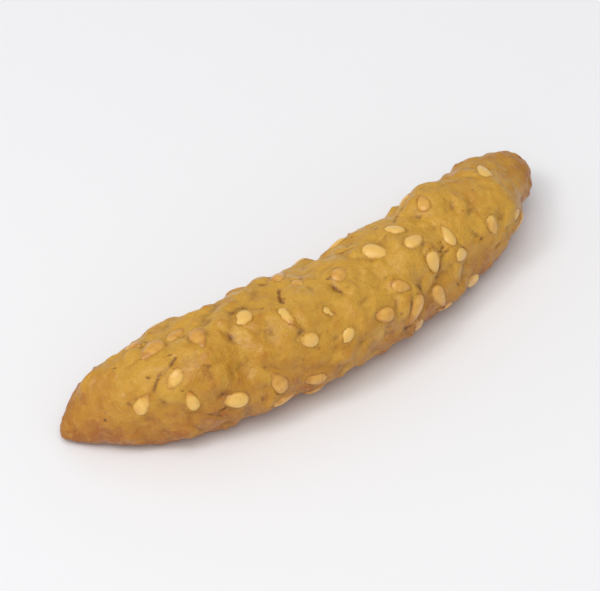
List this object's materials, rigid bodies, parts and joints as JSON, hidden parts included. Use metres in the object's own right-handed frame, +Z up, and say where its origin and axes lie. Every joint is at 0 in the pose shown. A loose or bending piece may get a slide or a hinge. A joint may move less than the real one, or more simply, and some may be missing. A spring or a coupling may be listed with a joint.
{
  "type": "sesame stick",
  "caption": "Tapered, slightly bowed stick of golden fried dough with pale sesame seeds set in its lumpy crust, lying on its flattened underside; a crunchy bite-size snack.",
  "frame": {"origin": "under the middle of the stick's bounding box, on the flat of its underside", "axes": "+X along the stick from its pointed tip to its blunt heel, +Z up from the flat it rests on, -Y the side that its middle bows towards"},
  "size_m": [0.048, 0.0124, 0.0089],
  "materials": {
    "crust": "matte golden-brown fried dough with a faint oily sheen",
    "seed": "satin cream to toasted gold sesame hull"
  },
  "bodies": {
    "root": {"sesame_stick": "crust"}
  },
  "joints": []
}
